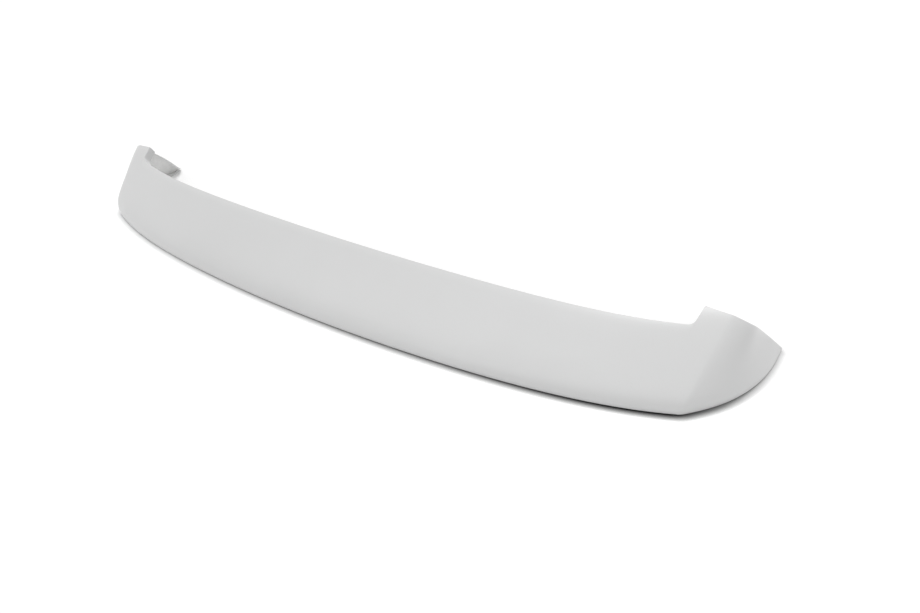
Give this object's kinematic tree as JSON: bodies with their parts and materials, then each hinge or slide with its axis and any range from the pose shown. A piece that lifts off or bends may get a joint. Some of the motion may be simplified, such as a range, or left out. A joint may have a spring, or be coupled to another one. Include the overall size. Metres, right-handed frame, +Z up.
{
  "type": "rear spoiler",
  "caption": "One-piece moulded rear roof spoiler: long arched face, swept-in horns and folded-back side cheeks, open shell behind.",
  "frame": {"origin": "middle of the footprint on the floor, under the part's bounding box", "axes": "+X along the span, +Y forward towards the roof, +Z up from the floor that the part stands on"},
  "size_m": [1.151, 0.2632, 0.1001],
  "materials": {
    "moulded_skin": "satin off-white moulded skin, unpainted"
  },
  "bodies": {
    "root": {"spoiler_shell": "moulded_skin"}
  },
  "joints": []
}
